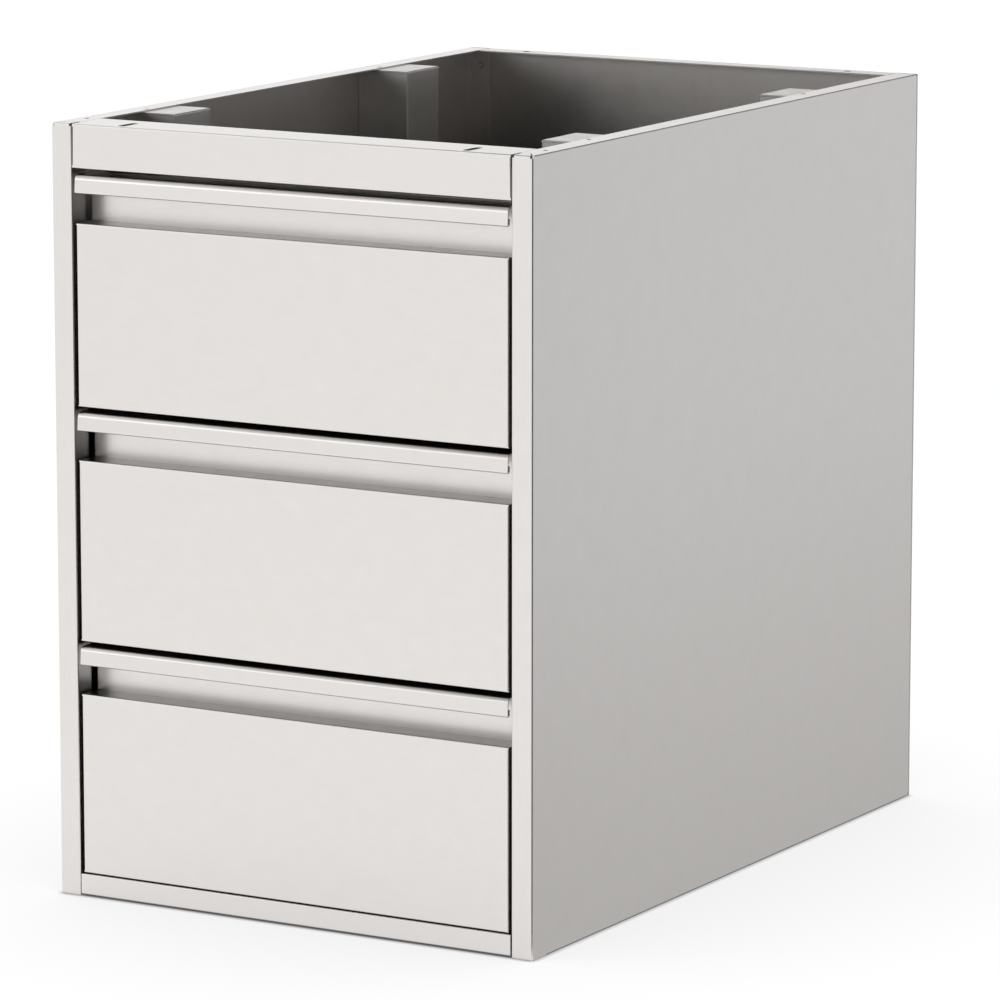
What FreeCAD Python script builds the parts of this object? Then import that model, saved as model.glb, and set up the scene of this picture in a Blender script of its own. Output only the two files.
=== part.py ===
import FreeCAD, Part

import math
import os

import Sketcher
from FreeCAD import Placement, Rotation, Vector

# Outdoor kitchen drawer unit in folded stainless sheet: an open-topped cabinet with three drawers.
# The frame has its origin at the bottom centre, +X to the right seen from the front, the front towards
# -Y and +Z up. Each piece is drawn with y counted from the front plane and is then set in its place.

os.makedirs("parts", exist_ok=True)

# Driving dimensions in millimetres
DIMENSIONS = {
    # cabinet
    "cabinet_width": 460,
    "cabinet_depth": 690,
    "cabinet_height": 657,
    "body_sheet": 1.2,
    "flange_width": 20,
    "column_width": 19.5,
    "column_return": 20,
    "corner_relief": 2.2,
    "corner_tab_depth": 14,
    "corner_mitre": 9.5,
    "slit_width": 0.4,
    "seam_gap": 0.9,
    "fit_gap": 0.2,
    # back, base and top rail
    "back_flange": 22,
    "worktop_hole_radius": 3.5,
    "worktop_hole_side": 165,
    "worktop_hole_inset": 10,
    "base_rail_height": 19,
    "base_rail_return": 10,
    "base_upturn": 15,
    "foot_hole_radius": 4.25,
    "foot_hole_side": 190,
    "foot_hole_inset": 45,
    "rail_height": 37,
    "rail_flange": 43,
    "rail_return": 15,
    "rail_end_flange": 18,
    "slot_side": 165,
    "slot_inset": 16.7,
    "slot_width": 7,
    "slot_length": 24,
    "corner_hole_inset": 38,
    "flange_hole_radius": 2.2,
    "rivet_side_inset": 11,
    "rivet_end_inset": 16,
    # posts
    "post_sheet": 1.5,
    "post_stand": 51.8,
    "post_depth": 55,
    "post_front_inset": 106.5,
    "post_rear_inset": 148.5,
    "post_relief": 0.3,
    "tab_hole_edge": 16,
    "tab_hole_inset": 12.5,
    # drawer fronts
    "front_base_gap": 1,
    "drawer_gap": 4.4,
    "rail_gap": 5,
    "front_side_gap": 3.2,
    "panel_setback": 1,
    "lip_height": 16,
    "lip_flare": 1,
    "lip_proud": 1,
    "lip_radius": 5,
    "hem_radius": 2,
    "hem_height": 6,
    "finger_opening": 25,
    "recess_depth": 25,
    "front_bottom_return": 18,
    "front_lip_width": 17,
    # drawer trays
    "inner_front_sheet": 1,
    "inner_front_side_gap": 5.5,
    "tray_sheet": 1,
    "tray_floor_lift": 10,
    "tray_rise": 7,
    "tray_top_return": 9,
    "tray_rear_room": 121.8,
    "drawer_back_drop": 10,
    "drawer_back_return": 9,
    # telescopic slides
    "slide_thickness": 12.7,
    "slide_height": 45,
    "slide_sheet": 1.2,
    "slide_front_inset": 29,
    "slide_rear_room": 161,
    "slide_lift": 65,
    "slide_cabinet_depth": 10,
    "slide_edge": 3.9,
    "slide_play": 0.35,
    "ball_diameter": 3.4,
    "ball_play": 0.3,
    "cage_sheet": 0.5,
    "cage_length": 230,
    # fasteners
    "screw_radius": 2,
    "screw_reach": 3,
    "pan_head_radius": 3.5,
    "pan_head_height": 2,
    "front_screw_low": 30,
    "front_screw_top_inset": 23,
    "rivet_radius": 2,
    "rivet_head_radius": 4,
    "rivet_head_height": 0.8,
    "rivet_tail": 1.5,
    "runner_rivet_head": 3.2,
    "runner_rivet_inset": 60,
    "hole_play": 0.15,
}
DRAWER_COUNT = 3
RIVET_SPACES = 5

doc = FreeCAD.newDocument("drawer_unit")
sheet = doc.addObject("Spreadsheet::Sheet", "Sizes")
for row, (name, number) in enumerate(DIMENSIONS.items(), start=1):
    sheet.set("A%d" % row, name)
    sheet.set("B%d" % row, str(number))
    sheet.setAlias("B%d" % row, name)
doc.recompute()


class Size:
    """A number together with the sheet expression that gives it."""

    def __init__(self, text, value):
        self.text = text
        self.value = value

    def __add__(self, other):
        return join(self, "+", other, self.value + as_size(other).value)

    def __radd__(self, other):
        return as_size(other) + self

    def __sub__(self, other):
        return join(self, "-", other, self.value - as_size(other).value)

    def __rsub__(self, other):
        return as_size(other) - self

    def __mul__(self, other):
        return join(self, "*", other, self.value * as_size(other).value)

    def __rmul__(self, other):
        return as_size(other) * self

    def __truediv__(self, other):
        return join(self, "/", other, self.value / as_size(other).value)

    def __neg__(self):
        return Size("(-1 * %s)" % self.text, -self.value)


def as_size(thing):
    if isinstance(thing, Size):
        return thing
    return Size("(%s)" % repr(thing), thing)


def join(first, sign, second, value):
    return Size("(%s %s %s)" % (first.text, sign, as_size(second).text), value)


def root_of(size):
    return Size("sqrt(%s)" % size.text, math.sqrt(size.value))


class Cells:
    """Gives each aliased cell of the sheet as a Size."""

    def __getattr__(self, name):
        return Size("Sizes." + name, float(getattr(sheet, name)))


cell = Cells()
zero = as_size(0)

# Planes across each axis: the origin plane's role and the direction in which a pad leaves it
PLANES = {"x": ("YZ_Plane", 1), "y": ("XZ_Plane", -1), "z": ("XY_Plane", 1)}
# How much of a bend's radius its flat takes where the bend isn't rounded
FLAT_SHARE = 0.6
# Sides of the small heads, shanks and holes of rivets and screws
FASTENER_SIDES = 6
# A corner's distance from the middle of such an outline over a flat's
CORNER_REACH = 1 / math.cos(math.pi / FASTENER_SIDES)
# A length below this counts as none
NOTHING = 1e-9
# Slope of a countersunk head and its hole, in degrees
SINK_SLOPE = 45


def new_body(name, x=zero, y=zero, z=zero, turned=False):
    """An empty body whose place is bound to the sheet, turned half round Y where asked."""
    body = doc.addObject("PartDesign::Body", name)
    body.Label = name
    body.AllowCompound = True
    if turned:
        body.Placement = Placement(Vector(0, 0, 0), Rotation(Vector(0, 1, 0), 180))
    body.setExpression("Placement.Base.x", x.text)
    body.setExpression("Placement.Base.y", (y - cell.cabinet_depth / 2).text)
    body.setExpression("Placement.Base.z", z.text)
    return body


def circle(a, b, radius):
    return ("circle", as_size(a), as_size(b), radius)


def facets(a, b, radius):
    """The outline of a small head, shank or hole, in equal flats whose corners lie on the circle."""
    turns = [2 * math.pi * (step + 0.5) / FASTENER_SIDES for step in range(FASTENER_SIDES)]
    return [(a + radius * math.cos(turn), b + radius * math.sin(turn)) for turn in turns]


def box_outline(a_low, a_high, b_low, b_high):
    return [(a_low, b_low), (a_high, b_low), (a_high, b_high), (a_low, b_high)]


def strip_faces(path, thickness, side, rounded=True):
    """Both faces of a folded sheet: one follows the path, whose runs are along the axes, and the sheet
    lies on the path's left (side 1) or right (side -1). A bend is sharp inside, and its outside is round,
    or broken by a flat where it isn't to be rounded."""
    steps = []
    for start, end in zip(path, path[1:]):
        run = (end[0] - start[0]).value, (end[1] - start[1]).value
        steps.append((sign_of(run[0]), sign_of(run[1])))
    near = []
    far = []
    for index, (a, b) in enumerate(path):
        if index in (0, len(path) - 1):
            step = steps[min(index, len(steps) - 1)]
            near.append((a, b))
            far.append((a - thickness * (side * step[1]), b + thickness * (side * step[0])))
            continue
        before, after = steps[index - 1], steps[index]
        turn = before[0] * after[1] - before[1] * after[0]
        near_radius, far_radius = (thickness, None) if turn == side else (None, thickness)
        far_a = a - thickness * (side * (before[1] + after[1]))
        far_b = b + thickness * (side * (before[0] + after[0]))
        near.extend(bend_points(a, b, before, after, near_radius, turn, rounded))
        far.extend(bend_points(far_a, far_b, before, after, far_radius, turn, rounded))
    return near, far


def bent_strip(path, thickness, side, rounded=True):
    """Outline of a folded sheet."""
    near, far = strip_faces(path, thickness, side, rounded)
    return near + turned_back(far)


def bend_points(a, b, before, after, radius, turn, rounded):
    """A bend's corner: one sharp point, two points with a flat between them, or two points whose first
    holds the arc to the second as its centre and turn."""
    if radius is None:
        return [(a, b)]
    reach = radius if rounded else radius * FLAT_SHARE
    start = a - reach * before[0], b - reach * before[1]
    end = a + reach * after[0], b + reach * after[1]
    if not rounded:
        return [start, end]
    centre = a + radius * (after[0] - before[0]), b + radius * (after[1] - before[1])
    return [start + (centre, turn), end]


def turned_back(points):
    """The same run of points and arcs walked from its end."""
    walked = []
    for index in range(len(points) - 1, -1, -1):
        point = points[index][:2]
        if index > 0 and len(points[index - 1]) > 2:
            centre, turn = points[index - 1][2:]
            point = point + (centre, -turn)
        walked.append(point)
    return walked


def sign_of(number):
    if abs(number) < NOTHING:
        return 0
    return 1 if number > 0 else -1


def mirrored(outline):
    """The same outline on the other side of the middle plane."""
    flipped = []
    for point in outline:
        place = (-point[0], point[1])
        if len(point) > 2:
            (centre_a, centre_b), turn = point[2:]
            place = place + ((-centre_a, centre_b), -turn)
        flipped.append(place)
    return flipped


def bound(constraints, bindings, kind, where, size):
    constraints.append(Sketcher.Constraint(kind, *where, size.value))
    bindings.append((len(constraints) - 1, size.text))


def draw_circle(sketch, a, b, radius):
    ring = Part.Circle(Vector(a.value, b.value, 0), Vector(0, 0, 1), radius.value)
    number = sketch.addGeometry(ring, False)
    return [("DistanceX", (-1, 1, number, 3), a), ("DistanceY", (-1, 1, number, 3), b),
            ("Radius", (number,), radius)]


def draw_outline(sketch, outline):
    """Lines and arcs through the points, each joined to the next and every point pinned."""
    first = sketch.GeometryCount
    pins = []
    ends = []
    for index, point in enumerate(outline):
        follower = outline[(index + 1) % len(outline)]
        start = Vector(point[0].value, point[1].value, 0)
        end = Vector(follower[0].value, follower[1].value, 0)
        number = first + index
        if len(point) == 2:
            sketch.addGeometry(Part.LineSegment(start, end), False)
            head, tail = 1, 2
        else:
            centre, turn = point[2:]
            middle = Vector(centre[0].value, centre[1].value, 0)
            low, high = (start, end) if turn > 0 else (end, start)
            low_angle = math.atan2(low.y - middle.y, low.x - middle.x)
            high_angle = math.atan2(high.y - middle.y, high.x - middle.x)
            if high_angle < low_angle:
                high_angle += 2 * math.pi
            ring = Part.Circle(middle, Vector(0, 0, 1), (start - middle).Length)
            sketch.addGeometry(Part.ArcOfCircle(ring, low_angle, high_angle), False)
            head, tail = (1, 2) if turn > 0 else (2, 1)
            across = abs(end.x - start.x) < abs(end.y - start.y)
            kind, size = ("DistanceX", centre[0]) if across else ("DistanceY", centre[1])
            pins.append((kind, (-1, 1, number, 3), size))
        pins.append(("DistanceX", (-1, 1, number, head), point[0]))
        pins.append(("DistanceY", (-1, 1, number, head), point[1]))
        ends.append((number, head, tail))
    joints = []
    for index, (number, _, tail) in enumerate(ends):
        after, head, _ = ends[(index + 1) % len(ends)]
        joints.append(Sketcher.Constraint("Coincident", number, tail, after, head))
    return joints, pins


def new_sketch(body, name, axis, place, shapes):
    """A sketch across the axis at the place, with all its shapes bound to the sheet."""
    role, direction = PLANES[axis]
    plane = [feature for feature in body.Origin.OriginFeatures if feature.Role == role][0]
    sketch = body.newObject("Sketcher::SketchObject", name + "_sketch")
    sketch.AttachmentSupport = [(plane, "")]
    sketch.MapMode = "FlatFace"
    sketch.setExpression("AttachmentOffset.Base.z", (as_size(place) * direction).text)
    constraints = []
    bindings = []
    for shape in shapes:
        if shape[0] == "circle":
            pins = draw_circle(sketch, *shape[1:])
        else:
            joints, pins = draw_outline(sketch, shape)
            constraints.extend(joints)
        for kind, where, size in pins:
            bound(constraints, bindings, kind, where, size)
    sketch.addConstraint(constraints)
    for number, text in bindings:
        sketch.setExpression("Constraints[%d]" % number, text)
    return sketch


def pad(body, name, axis, low, high, *shapes):
    """Material between two places along the axis."""
    low, high = as_size(low), as_size(high)
    start = low if PLANES[axis][1] > 0 else high
    feature_sketch = new_sketch(body, name, axis, start, shapes)
    feature = body.newObject("PartDesign::Pad", name)
    feature.Profile = feature_sketch
    feature.setExpression("Length", (high - low).text)
    return feature


def cut(body, name, axis, low, high, *shapes):
    """An opening between two places along the axis."""
    low, high = as_size(low), as_size(high)
    start = high if PLANES[axis][1] > 0 else low
    feature_sketch = new_sketch(body, name, axis, start, shapes)
    feature = body.newObject("PartDesign::Pocket", name)
    feature.Profile = feature_sketch
    feature.setExpression("Length", (high - low).text)
    return feature


def repeat_up(body, feature, pitch, spaces):
    """The same feature again at equal steps upwards."""
    row = body.newObject("PartDesign::LinearPattern", feature.Name + "_row")
    row.Originals = [feature]
    row.Direction = ([axis for axis in body.Origin.OriginFeatures if axis.Role == "Z_Axis"][0], [""])
    row.setExpression("Length", (pitch * spaces).text)
    row.Occurrences = spaces + 1
    body.Tip = row
    return row


def mirror_of(body, name):
    """The opposite-hand piece, across the cabinet's middle plane."""
    other = doc.addObject("Part::Mirroring", name)
    other.Label = name
    other.Source = body
    other.Normal = Vector(1, 0, 0)
    return other


# Places that several pieces share
half_width = cell.cabinet_width / 2
top = cell.cabinet_height
rear = cell.cabinet_depth
body_bend = cell.body_sheet
lap = cell.body_sheet
side_inner = half_width - cell.body_sheet
back_inner = rear - cell.body_sheet
flange_edge = half_width - cell.flange_width
column_edge = half_width - cell.column_width
between_columns = column_edge - cell.seam_gap
between_flanges = flange_edge - cell.seam_gap
base_top = cell.body_sheet * 2
flange_under = top - cell.body_sheet
rivet_side = half_width - cell.rivet_side_inset
rivet_pitch = (top - cell.rivet_end_inset * 2) / RIVET_SPACES
rivet_hole = cell.rivet_radius + cell.hole_play
screw_hole = cell.screw_radius + cell.hole_play

post_face = side_inner - cell.post_stand
post_front = cell.post_front_inset
post_rear = rear - cell.post_rear_inset - cell.post_depth
post_bend = cell.post_sheet
tab_hole_side = half_width - cell.tab_hole_edge

opening_low = cell.base_rail_height + cell.front_base_gap
opening_high = top - cell.rail_height - cell.rail_gap
front_pitch = (opening_high - opening_low + cell.drawer_gap) / DRAWER_COUNT
front_height = front_pitch - cell.drawer_gap
front_half = column_edge - cell.front_side_gap
panel_height = front_height - cell.lip_height - cell.finger_opening
recess_back = cell.recess_depth + cell.body_sheet
inner_front_back = recess_back + cell.inner_front_sheet
inner_front_half = column_edge - cell.inner_front_side_gap
front_screw_side = front_half - cell.front_lip_width / 2 - cell.body_sheet
front_screw_heights = [cell.front_screw_low, panel_height - cell.front_screw_top_inset]
front_screw_places = [(front_screw_side * side, height) for side in (-1, 1) for height in front_screw_heights]

slide_front = cell.slide_front_inset
slide_length = rear - cell.slide_front_inset - cell.slide_rear_room
slide_screw_places = [post_front + cell.post_depth / 2, post_rear + cell.post_depth / 2]
runner_rivet_places = [cell.runner_rivet_inset, slide_length - cell.runner_rivet_inset]
tray_half = post_face - cell.slide_thickness
tray_rear = back_inner - cell.tray_rear_room
tray_bottom = cell.tray_floor_lift
tray_top = panel_height + cell.tray_rise
front_bottoms = [opening_low + front_pitch * level for level in range(DRAWER_COUNT)]
slide_heights = [bottom + cell.slide_lift for bottom in front_bottoms]


def side_panel():
    """The right side: a web whose front folds round into a column, with flanges on its other edges."""
    body = new_body("side_panel_right")
    thick = cell.body_sheet
    low_front = cell.column_return + cell.corner_relief
    rear_bend = back_inner - body_bend
    web = [(body_bend, zero), (low_front, zero), (low_front, body_bend), (rear_bend, body_bend),
           (rear_bend, top - body_bend), (body_bend, top - body_bend)]
    pad(body, "web", "x", side_inner, half_width, web)
    column = [(half_width, body_bend + lap), (half_width, zero), (column_edge, zero),
              (column_edge, cell.column_return)]
    pad(body, "column", "z", 0, top - cell.corner_relief, bent_strip(column, thick, -1))
    flange_rear = back_inner - cell.corner_relief
    top_bend = [(half_width, top - body_bend - lap), (half_width, top), (half_width - body_bend - lap, top)]
    pad(body, "top_bend", "y", cell.corner_relief, flange_rear, bent_strip(top_bend, thick, 1))
    mitre_side = half_width - cell.corner_mitre
    slit_rear = cell.corner_tab_depth + cell.slit_width
    top_flange = [(half_width - body_bend, cell.corner_relief), (half_width - body_bend, flange_rear),
                  (flange_edge, flange_rear), (flange_edge, slit_rear), (mitre_side, slit_rear)]
    pad(body, "top_flange", "z", flange_under, top, top_flange)
    tab_low = column_edge + cell.corner_relief
    tab_high = half_width - cell.corner_relief - cell.slit_width
    tab_bend = [(zero, top - cell.corner_relief - lap), (zero, top), (body_bend + lap, top)]
    pad(body, "corner_tab_bend", "x", tab_low, tab_high, bent_strip(tab_bend, thick, -1))
    tab = [(tab_low, body_bend), (tab_high, body_bend),
           (mitre_side - cell.slit_width, cell.corner_tab_depth), (tab_low, cell.corner_tab_depth)]
    pad(body, "corner_tab", "z", flange_under, top, tab)
    low_flange = [(half_width, body_bend + lap), (half_width, zero), (flange_edge, zero)]
    pad(body, "bottom_flange", "y", low_front, flange_rear, bent_strip(low_flange, thick, -1))
    rear_flange = [(half_width, rear_bend - lap), (half_width, back_inner), (flange_edge, back_inner)]
    pad(body, "rear_flange", "z", cell.corner_relief, top - cell.corner_relief,
        bent_strip(rear_flange, thick, 1))
    corner_side = half_width - cell.flange_width / 2
    top_holes = [circle(corner_side, cell.corner_hole_inset, cell.flange_hole_radius)]
    for place in (post_front, post_rear):
        top_holes.append(circle(tab_hole_side, place + cell.tab_hole_inset, cell.flange_hole_radius))
    cut(body, "top_flange_holes", "z", flange_under, top, *top_holes)
    lowest_hole = cut(body, "rivet_hole", "y", back_inner - cell.body_sheet, back_inner,
                      facets(rivet_side, cell.rivet_end_inset, rivet_hole))
    repeat_up(body, lowest_hole, rivet_pitch, RIVET_SPACES)
    return body


def back_panel():
    """The back: a flat sheet behind both sides, with a top flange between the side flanges."""
    body = new_body("back_panel")
    web = [(-half_width, zero), (half_width, zero), (half_width, top), (between_flanges, top),
           (between_flanges, top - body_bend), (-between_flanges, top - body_bend), (-between_flanges, top),
           (-half_width, top)]
    pad(body, "web", "y", back_inner, rear, web)
    flange = [(rear, top - body_bend - lap), (rear, top), (rear - cell.back_flange, top)]
    pad(body, "top_flange", "x", -between_flanges, between_flanges,
        bent_strip(flange, cell.body_sheet, 1))
    hole_place = rear - cell.worktop_hole_inset
    cut(body, "worktop_holes", "z", flange_under, top,
        *[circle(cell.worktop_hole_side * side, hole_place, cell.worktop_hole_radius) for side in (-1, 1)])
    lowest_holes = cut(body, "rivet_holes", "y", back_inner, rear,
                       *[facets(rivet_side * side, cell.rivet_end_inset, rivet_hole) for side in (-1, 1)])
    repeat_up(body, lowest_holes, rivet_pitch, RIVET_SPACES)
    return body


def base_panel():
    """The base: a sheet on the sides' bottom flanges, folded up in front as the bottom rail."""
    body = new_body("base_panel")
    front_edge = cell.column_return + cell.fit_gap
    rear_edge = back_inner - cell.body_sheet - cell.fit_gap
    plate_half = side_inner - cell.fit_gap
    floor = cell.body_sheet
    plate = box_outline(-plate_half, plate_half, front_edge, rear_edge)
    pad(body, "plate", "z", floor, base_top, plate)
    rail = [(front_edge + lap, floor), (zero, floor), (zero, cell.base_rail_height),
            (cell.base_rail_return, cell.base_rail_height)]
    pad(body, "bottom_rail", "x", -between_columns, between_columns,
        bent_strip(rail, cell.body_sheet, -1))
    upturn_rear = back_inner - cell.fit_gap
    upturn = [(rear_edge - body_bend - lap, floor), (upturn_rear, floor), (upturn_rear, cell.base_upturn)]
    pad(body, "rear_upturn", "x", -between_flanges, between_flanges,
        bent_strip(upturn, cell.body_sheet, 1, rounded=False))
    holes = []
    for side in (-1, 1):
        for place in (cell.foot_hole_inset, rear - cell.foot_hole_inset):
            holes.append(circle(cell.foot_hole_side * side, place, cell.foot_hole_radius))
    cut(body, "foot_holes", "z", floor, base_top, *holes)
    return body


def slot_outline(centre_a, centre_b):
    """A slot with round ends that runs front to rear."""
    radius = cell.slot_width / 2
    reach = cell.slot_length / 2 - radius
    return [(centre_a - radius, centre_b - reach, (centre_a, centre_b - reach), 1),
            (centre_a + radius, centre_b - reach),
            (centre_a + radius, centre_b + reach, (centre_a, centre_b + reach), 1),
            (centre_a - radius, centre_b + reach)]


def top_front_rail():
    """The top rail: a channel between the columns, with a flange under the worktop and end flanges."""
    body = new_body("top_front_rail")
    low = top - cell.rail_height
    section = [(cell.rail_return, low), (zero, low), (zero, top), (cell.rail_flange, top)]
    pad(body, "section", "x", -between_columns, between_columns,
        bent_strip(section, cell.body_sheet, -1))
    face_low = low + cell.corner_relief
    face_high = top - cell.corner_relief
    face_end = between_columns - body_bend
    cut(body, "end_relief", "y", 0, cell.body_sheet,
        box_outline(face_end, between_columns, face_low, face_high),
        box_outline(-between_columns, -face_end, face_low, face_high))
    path = [(face_end - lap, zero), (between_columns, zero), (between_columns, cell.rail_end_flange)]
    end = bent_strip(path, cell.body_sheet, 1)
    pad(body, "end_flanges", "z", face_low, face_high, end, mirrored(end))
    cut(body, "worktop_slots", "z", flange_under, top,
        slot_outline(-cell.slot_side, cell.slot_inset), slot_outline(cell.slot_side, cell.slot_inset))
    return body


def post(name, place):
    """An upright channel with its web towards the drawers and a tab bent out at each end."""
    body = new_body(name, y=place)
    outer = side_inner - cell.fit_gap
    channel = [(outer, zero), (post_face, zero), (post_face, cell.post_depth), (outer, cell.post_depth)]
    channel_low = base_top + post_bend + cell.post_relief
    channel_high = flange_under - post_bend - cell.post_relief
    pad(body, "channel", "z", channel_low, channel_high,
        bent_strip(channel, cell.post_sheet, -1))
    top_tab = [(post_face, channel_high), (post_face, flange_under), (outer, flange_under)]
    pad(body, "top_tab", "y", 0, cell.post_depth,
        bent_strip(top_tab, cell.post_sheet, -1))
    low_tab = [(post_face, channel_low), (post_face, base_top), (outer, base_top)]
    pad(body, "bottom_tab", "y", 0, cell.post_depth,
        bent_strip(low_tab, cell.post_sheet, 1, rounded=False))
    cut(body, "tab_hole", "z", flange_under - cell.post_sheet, flange_under,
        circle(tab_hole_side, cell.tab_hole_inset, cell.flange_hole_radius))
    lowest_hole = cut(body, "slide_hole", "x", post_face, post_face + cell.post_sheet,
                      facets(cell.post_depth / 2, slide_heights[0], screw_hole))
    repeat_up(body, lowest_hole, front_pitch, DRAWER_COUNT - 1)
    return body


# Section of a slide: u counts from the post face towards the drawer, v up from the slide's middle
cabinet_v = cell.slide_height / 2
cabinet_u = cell.slide_cabinet_depth
bridge_v = cabinet_v - cell.slide_sheet - cell.ball_diameter - cell.ball_play * 2
drawer_v = bridge_v - cell.slide_sheet - cell.ball_diameter - cell.ball_play * 2
outer_cage_u = cell.slide_sheet + cell.slide_play
bridge_u = outer_cage_u + cell.cage_sheet + cell.slide_play
bridge_end = cell.slide_thickness - cell.slide_sheet - cell.slide_play
inner_cage_u = bridge_u + cell.slide_sheet + cell.slide_play
drawer_end = inner_cage_u + cell.cage_sheet + cell.slide_play
outer_cage_v = cabinet_v - cell.slide_sheet - cell.ball_play - cell.ball_diameter / 2 + cell.cage_sheet / 2
inner_cage_v = bridge_v - cell.slide_sheet - cell.ball_play - cell.ball_diameter / 2 + cell.cage_sheet / 2
outer_cage_end = cabinet_u - cell.slide_sheet - cell.slide_play
inner_cage_end = bridge_end - cell.slide_sheet - cell.slide_play


def slide_body(name, side, level):
    """A body in a slide's own frame: the left slide stands on its post as drawn, the right is turned."""
    x = post_face * side
    return new_body(name, x=x, y=slide_front, z=slide_heights[level], turned=side > 0)


def edged_channel(u_low, u_high, v, edge):
    """A channel open towards +u whose flanges end in short edges turned towards each other."""
    path = [(u_high, v - edge), (u_high, v), (u_low, v), (u_low, -v), (u_high, -v), (u_high, edge - v)]
    return bent_strip(path, cell.slide_sheet, 1, rounded=False)


def slide_outer(name, side, level):
    """The cabinet runner, with countersunk holes at the two posts."""
    body = slide_body(name, side, level)
    pad(body, "runner", "y", 0, slide_length, edged_channel(zero, cabinet_u, cabinet_v, cell.slide_edge))
    mouth = screw_hole + cell.slide_sheet * CORNER_REACH
    holes = [facets(place - slide_front, zero, mouth) for place in slide_screw_places]
    sinks = cut(body, "countersinks", "x", 0, cell.slide_sheet, *holes)
    sinks.TaperAngle = -SINK_SLOPE
    return body


def slide_middle(name, side, level):
    """The bridge runner, which carries half of the travel."""
    body = slide_body(name, side, level)
    pad(body, "runner", "y", 0, slide_length, edged_channel(bridge_u, bridge_end, bridge_v, cell.slide_edge))
    return body


def slide_inner(name, side, level):
    """The drawer runner, riveted to the tray."""
    body = slide_body(name, side, level)
    path = [(drawer_end, drawer_v), (cell.slide_thickness, drawer_v), (cell.slide_thickness, -drawer_v),
            (drawer_end, -drawer_v)]
    pad(body, "runner", "y", 0, slide_length,
        bent_strip(path, cell.slide_sheet, -1, rounded=False))
    holes = [facets(place, zero, rivet_hole) for place in runner_rivet_places]
    cut(body, "rivet_holes", "x", cell.slide_thickness - cell.slide_sheet, cell.slide_thickness, *holes)
    return body


def cage(name, side, level, u_low, u_high, v):
    """A ball cage: a thin channel whose two edges run between the flanges of the runners."""
    body = slide_body(name, side, level)
    path = [(u_high, v), (u_low, v), (u_low, -v), (u_high, -v)]
    start = (slide_length - cell.cage_length) / 2
    pad(body, "cage", "y", start, start + cell.cage_length,
        bent_strip(path, cell.cage_sheet, 1, rounded=False))
    return body


def front_section():
    """Section of a drawer front, in one sheet from its bottom return to the open hem rolled under its lip."""
    thick = cell.body_sheet
    length = root_of(cell.lip_flare * cell.lip_flare + cell.lip_height * cell.lip_height)
    lean = cell.lip_flare / length
    rise = cell.lip_height / length
    radius = cell.lip_radius
    low_y = -cell.lip_proud
    low_z = front_height - cell.lip_height
    centre_z = front_height - radius
    run = (centre_z + radius * lean - low_z) / rise
    centre_y = low_y + run * lean + radius * rise
    centre = (centre_y, centre_z)

    def on_lip(along, deep):
        """A point so far up the lip from its bottom edge and so deep behind its face."""
        return low_y + lean * along + rise * deep, low_z + rise * along - lean * deep

    inner = radius - thick
    hem = cell.hem_radius
    hem_back = hem * 2
    grip = [(centre_y, front_height, centre, 1),
            (centre_y - radius * rise, centre_z + radius * lean),
            on_lip(hem, zero) + (on_lip(hem, hem), 1),
            on_lip(hem, hem_back),
            on_lip(cell.hem_height, hem_back),
            on_lip(cell.hem_height, hem_back - thick),
            on_lip(hem, hem_back - thick) + (on_lip(hem, hem), -1),
            on_lip(hem, thick),
            (centre_y - inner * rise, centre_z + inner * lean, centre, -1)]
    path = [(cell.front_bottom_return, zero), (cell.panel_setback, zero), (cell.panel_setback, panel_height),
            (cell.recess_depth, panel_height), (cell.recess_depth, front_height - thick),
            (centre_y, front_height - thick)]
    near, far = strip_faces(path, thick, -1)
    return near[:-1] + turned_back(grip + near[-1:]) + turned_back(far)[1:]


def drawer_front(name, level):
    """A drawer front: panel, ledge, finger recess and grip lip in one folded sheet."""
    body = new_body(name, z=front_bottoms[level])
    pad(body, "section", "x", -front_half, front_half, front_section())
    low = body_bend + cell.fit_gap
    high = panel_height - body_bend - cell.fit_gap
    panel_back = cell.panel_setback + cell.body_sheet
    panel_end = front_half - body_bend
    cut(body, "side_relief", "y", 0, panel_back,
        box_outline(panel_end, front_half, low, high), box_outline(-front_half, -panel_end, low, high))
    path = [(panel_end - lap, cell.panel_setback), (front_half, cell.panel_setback),
            (front_half, recess_back), (front_half - cell.front_lip_width, recess_back)]
    edge = bent_strip(path, cell.body_sheet, 1)
    pad(body, "side_returns", "z", low, high, edge, mirrored(edge))
    holes = [facets(a, b, screw_hole) for a, b in front_screw_places]
    cut(body, "screw_holes", "y", cell.recess_depth, recess_back, *holes)
    return body


def drawer_inner_front(name, level):
    """The plate that closes the tray and takes the front."""
    body = new_body(name, z=front_bottoms[level])
    plate = box_outline(-inner_front_half, inner_front_half, tray_bottom, tray_top)
    pad(body, "plate", "y", recess_back, inner_front_back, plate)
    holes = [facets(a, b, screw_hole) for a, b in front_screw_places]
    cut(body, "screw_holes", "y", recess_back, inner_front_back, *holes)
    return body


def drawer_tray(name, level):
    """Bottom and sides of the drawer in one sheet, with top edges turned out over the slides."""
    body = new_body(name, z=front_bottoms[level])
    thick = cell.tray_sheet
    inner = tray_half - thick
    edge = tray_half + cell.tray_top_return
    path = [(edge, tray_top), (inner, tray_top), (inner, tray_bottom + thick), (-inner, tray_bottom + thick),
            (-inner, tray_top), (-edge, tray_top)]
    pad(body, "tray", "y", inner_front_back, tray_rear, bent_strip(path, thick, 1, rounded=False))
    holes = [facets(slide_front + place, cell.slide_lift, rivet_hole) for place in runner_rivet_places]
    cut(body, "rivet_holes_right", "x", inner, tray_half, *holes)
    cut(body, "rivet_holes_left", "x", -tray_half, -inner, *holes)
    return body


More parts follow.
